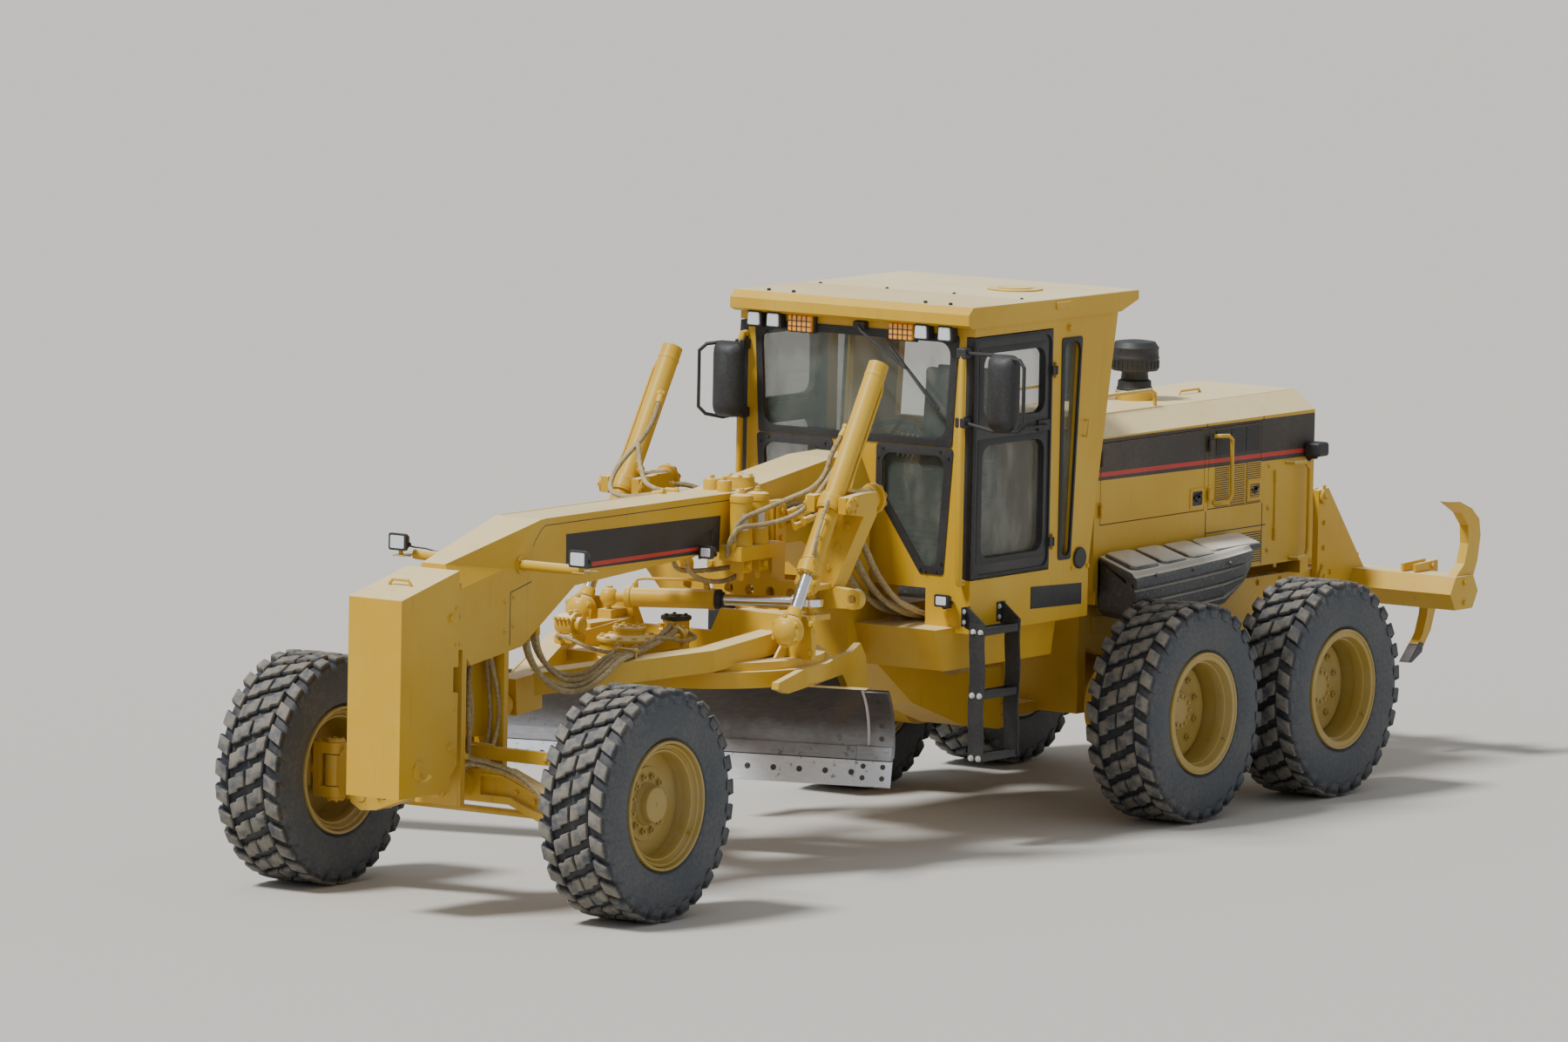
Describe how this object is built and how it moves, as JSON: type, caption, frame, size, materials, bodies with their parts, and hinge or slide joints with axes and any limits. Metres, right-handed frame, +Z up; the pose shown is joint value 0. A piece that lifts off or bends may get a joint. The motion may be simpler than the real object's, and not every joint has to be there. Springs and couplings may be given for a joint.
{
  "type": "motor grader",
  "caption": "Six-wheel articulated motor grader with a long-necked front frame, turning side-shifted blade, cab, rear engine hood and rear ripper.",
  "frame": {"origin": "on the ground under the middle of the whole machine's box; the side-shifted blade puts it 639 mm to the right of the machine's centre plane", "axes": "+X to the machine's left, +Y to its rear along its length, +Z up"},
  "size_m": [3.9381, 10.024, 3.05],
  "materials": {
    "yellow_paint": "satin",
    "pale_paint": "satin",
    "black_paint": "satin",
    "tyre_rubber": "matte, dusty",
    "black_plastic": "moulded",
    "blade_steel": "worn",
    "edge_steel": "bright from use",
    "rod_chrome": "polished",
    "cab_window": "tinted",
    "engine_iron": "cast",
    "red_paint": "gloss",
    "hose_rubber": "dusty sleeve",
    "seat_cloth": "woven",
    "lamp_lens": "ribbed",
    "amber_lens": "ribbed",
    "mirror_face": "polished"
  },
  "bodies": {
    "front_frame": {"main_frame": "yellow_paint", "counterweight": "yellow_paint", "lift_saddle": "yellow_paint", "front_lamps": "yellow_paint", "cab_base": "yellow_paint", "cab_shell": "yellow_paint", "cab_roof": "pale_paint", "cab_glass": "cab_window", "cab_interior": "black_plastic", "mirrors": "black_plastic", "ladders": "black_paint", "axle_beam": "yellow_paint"},
    "lean_left": {"lean_bracket_left": "yellow_paint"},
    "lean_right": {"lean_bracket_right": "yellow_paint"},
    "steer_left": {"knuckle_left": "yellow_paint"},
    "steer_right": {"knuckle_right": "yellow_paint"},
    "lean_link": {"lean_bar": "yellow_paint"},
    "track_rod_end": {"tie_rod_end": "yellow_paint"},
    "track_rod": {"tie_rod": "yellow_paint"},
    "wheel_front_left": {"tyre_front_left": "tyre_rubber", "rim_front_left": "yellow_paint"},
    "wheel_front_right": {"tyre_front_right": "tyre_rubber", "rim_front_right": "yellow_paint"},
    "wheel_mid_left": {"tyre_mid_left": "tyre_rubber", "rim_mid_left": "yellow_paint"},
    "wheel_mid_right": {"tyre_mid_right": "tyre_rubber", "rim_mid_right": "yellow_paint"},
    "wheel_rear_left": {"tyre_rear_left": "tyre_rubber", "rim_rear_left": "yellow_paint"},
    "wheel_rear_right": {"tyre_rear_right": "tyre_rubber", "rim_rear_right": "yellow_paint"},
    "draft_frame": {"drawbar": "yellow_paint"},
    "turntable": {"turn_circle": "yellow_paint"},
    "blade_carrier": {"blade_brackets": "yellow_paint"},
    "blade": {"moldboard": "blade_steel", "cutting_edge": "edge_steel"},
    "lift_cylinder_left": {"lift_barrel_left": "yellow_paint"},
    "lift_cylinder_right": {"lift_barrel_right": "yellow_paint"},
    "lift_piston_left": {"lift_rod_left": "rod_chrome"},
    "lift_piston_right": {"lift_rod_right": "rod_chrome"},
    "shift_cylinder": {"shift_barrel": "yellow_paint"},
    "shift_piston": {"shift_rod": "rod_chrome"},
    "rear_body": {"rear_frame": "yellow_paint", "tandem_cases": "yellow_paint", "engine_block": "engine_iron", "hood": "yellow_paint", "fenders": "black_plastic", "stacks": "black_paint"},
    "cab_door_left": {"door_left": "black_paint", "door_glass_left": "cab_window"},
    "cab_door_right": {"door_right": "black_paint", "door_glass_right": "cab_window"},
    "front_panel_left": {"front_hood_door_left": "yellow_paint"},
    "front_panel_right": {"front_hood_door_right": "yellow_paint"},
    "louvred_panel_left": {"louvred_door_left": "yellow_paint"},
    "louvred_panel_right": {"louvred_door_right": "yellow_paint"},
    "ripper_top": {"ripper_upper_link": "yellow_paint"},
    "ripper_bottom": {"ripper_lower_link": "yellow_paint"},
    "ripper": {"ripper_frame": "yellow_paint"}
  },
  "joints": [
    {"name": "articulation", "type": "hinge", "parent": "front_frame", "child": "rear_body", "pos_m": [0.63868, 1.0625, 0.7], "axis": [0, 0, 1], "range_deg": [-20, 20]},
    {"name": "lean_left", "type": "hinge", "parent": "front_frame", "child": "lean_left", "pos_m": [1.32868, -4.096, 0.52], "axis": [0, 1, 0], "range_deg": [-18, 18]},
    {"name": "lean_right", "type": "hinge", "parent": "front_frame", "child": "lean_right", "pos_m": [-0.05132, -4.096, 0.52], "axis": [0, 1, 0], "range_deg": [-18, 18]},
    {"name": "lean_link_pin", "type": "hinge", "parent": "lean_left", "child": "lean_link", "pos_m": [1.32868, -4.096, 0.82], "axis": [0, 1, 0], "range_deg": [-18, 18]},
    {"name": "steer_left", "type": "hinge", "parent": "lean_left", "child": "steer_left", "pos_m": [1.56868, -4.0875, 0.635], "axis": [0, 0, 1], "range_deg": [-50, 50]},
    {"name": "steer_right", "type": "hinge", "parent": "lean_right", "child": "steer_right", "pos_m": [-0.29132, -4.0875, 0.635], "axis": [0, 0, 1], "range_deg": [-50, 50]},
    {"name": "track_rod_turn", "type": "hinge", "parent": "steer_left", "child": "track_rod_end", "pos_m": [1.56868, -3.9375, 0.48], "axis": [0, 0, 1], "range_deg": [-50, 50]},
    {"name": "track_rod_tilt", "type": "hinge", "parent": "track_rod_end", "child": "track_rod", "pos_m": [1.56868, -3.9375, 0.48], "axis": [0, 1, 0], "range_deg": [-18, 18]},
    {"name": "spin_front_left", "type": "hinge", "parent": "steer_left", "child": "wheel_front_left", "pos_m": [1.71868, -4.0875, 0.635], "axis": [1, 0, 0], "continuous": true},
    {"name": "spin_front_right", "type": "hinge", "parent": "steer_right", "child": "wheel_front_right", "pos_m": [-0.44132, -4.0875, 0.635], "axis": [1, 0, 0], "continuous": true},
    {"name": "spin_mid_left", "type": "hinge", "parent": "rear_body", "child": "wheel_mid_left", "pos_m": [1.74868, 1.251, 0.635], "axis": [1, 0, 0], "continuous": true},
    {"name": "spin_mid_right", "type": "hinge", "parent": "rear_body", "child": "wheel_mid_right", "pos_m": [-0.47132, 1.251, 0.635], "axis": [1, 0, 0], "continuous": true},
    {"name": "spin_rear_left", "type": "hinge", "parent": "rear_body", "child": "wheel_rear_left", "pos_m": [1.74868, 2.774, 0.635], "axis": [1, 0, 0], "continuous": true},
    {"name": "spin_rear_right", "type": "hinge", "parent": "rear_body", "child": "wheel_rear_right", "pos_m": [-0.47132, 2.774, 0.635], "axis": [1, 0, 0], "continuous": true},
    {"name": "drawbar_lift", "type": "hinge", "parent": "front_frame", "child": "draft_frame", "pos_m": [0.63868, -3.8575, 1.05], "axis": [1, 0, 0], "range_deg": [-11, 2]},
    {"name": "lift_tilt_left", "type": "hinge", "parent": "front_frame", "child": "lift_cylinder_left", "pos_m": [1.33868, -1.7075, 2.03], "axis": [1, 0, 0], "range_deg": [-3, 13]},
    {"name": "lift_stroke_left", "type": "slide", "parent": "lift_cylinder_left", "child": "lift_piston_left", "axis": [0, -0.5126, -0.8586], "range_m": [-0.08, 0.32]},
    {"name": "lift_tilt_right", "type": "hinge", "parent": "front_frame", "child": "lift_cylinder_right", "pos_m": [-0.06132, -1.7075, 2.03], "axis": [1, 0, 0], "range_deg": [-3, 13]},
    {"name": "lift_stroke_right", "type": "slide", "parent": "lift_cylinder_right", "child": "lift_piston_right", "axis": [0, -0.5126, -0.8586], "range_m": [-0.08, 0.32]},
    {"name": "shift_tilt", "type": "hinge", "parent": "draft_frame", "child": "shift_cylinder", "pos_m": [0.11868, -2.0975, 1.45], "axis": [0.3465, -0.8997, -0.2657], "range_deg": [-5, 22]},
    {"name": "shift_stroke", "type": "slide", "parent": "shift_cylinder", "child": "shift_piston", "axis": [0.9348, 0.3549, 0.0173], "range_m": [-0.1, 0.3]},
    {"name": "circle_turn", "type": "hinge", "parent": "draft_frame", "child": "turntable", "pos_m": [0.63868, -1.9875, 1.06], "axis": [0, 0, 1], "range_deg": [-56, 21]},
    {"name": "blade_tip", "type": "hinge", "parent": "turntable", "child": "blade_carrier", "pos_m": [0.45951, -1.36268, 0.64], "axis": [0.9613, 0.2756, 0], "range_deg": [-5, 40]},
    {"name": "blade_shift", "type": "slide", "parent": "blade_carrier", "child": "blade", "axis": [0.9613, 0.2756, 0], "range_m": [0, 1.2]},
    {"name": "cab_door_left", "type": "hinge", "parent": "front_frame", "child": "cab_door_left", "pos_m": [1.45368, 0.3825, 1.5], "axis": [0, 0, 1], "range_deg": [0, 85]},
    {"name": "cab_door_right", "type": "hinge", "parent": "front_frame", "child": "cab_door_right", "pos_m": [-0.17632, 0.3825, 1.5], "axis": [0, 0, -1], "range_deg": [0, 85]},
    {"name": "front_panel_left", "type": "hinge", "parent": "rear_body", "child": "front_panel_left", "pos_m": [1.12768, 1.3925, 1.7], "axis": [0, 0, -1], "range_deg": [0, 85]},
    {"name": "front_panel_right", "type": "hinge", "parent": "rear_body", "child": "front_panel_right", "pos_m": [0.14968, 1.3925, 1.7], "axis": [0, 0, 1], "range_deg": [0, 85]},
    {"name": "louvred_panel_left", "type": "hinge", "parent": "rear_body", "child": "louvred_panel_left", "pos_m": [1.12768, 2.5605, 1.7], "axis": [0, 0, -1], "range_deg": [0, 85]},
    {"name": "louvred_panel_right", "type": "hinge", "parent": "rear_body", "child": "louvred_panel_right", "pos_m": [0.14968, 2.5605, 1.7], "axis": [0, 0, 1], "range_deg": [0, 85]},
    {"name": "ripper_lift", "type": "hinge", "parent": "rear_body", "child": "ripper_top", "pos_m": [0.63868, 3.9125, 1.56], "axis": [1, 0, 0], "range_deg": [-55, 10]},
    {"name": "ripper_low_pin", "type": "hinge", "parent": "rear_body", "child": "ripper_bottom", "pos_m": [0.63868, 3.9125, 1.08], "axis": [1, 0, 0], "range_deg": [-55, 10]},
    {"name": "ripper_level", "type": "hinge", "parent": "ripper_top", "child": "ripper", "pos_m": [0.63868, 4.3125, 1.56], "axis": [1, 0, 0], "range_deg": [-10, 55]}
  ],
  "couplings": [
    {"joint": "lean_right", "follows": "lean_left", "ratio": 1},
    {"joint": "lean_link_pin", "follows": "lean_left", "ratio": -1},
    {"joint": "steer_right", "follows": "steer_left", "ratio": 1},
    {"joint": "track_rod_turn", "follows": "steer_left", "ratio": -1},
    {"joint": "track_rod_tilt", "follows": "lean_left", "ratio": -0.744},
    {"joint": "lift_tilt_left", "follows": "drawbar_lift", "ratio": -1.0599},
    {"joint": "lift_stroke_left", "follows": "drawbar_lift", "m_per_rad": -1.5033},
    {"joint": "lift_tilt_right", "follows": "drawbar_lift", "ratio": -1.0599},
    {"joint": "lift_stroke_right", "follows": "drawbar_lift", "m_per_rad": -1.5033},
    {"joint": "shift_tilt", "follows": "drawbar_lift", "ratio": -1.8882},
    {"joint": "shift_stroke", "follows": "drawbar_lift", "m_per_rad": -0.1566},
    {"joint": "ripper_low_pin", "follows": "ripper_lift", "ratio": 1},
    {"joint": "ripper_level", "follows": "ripper_lift", "ratio": -1}
  ]
}
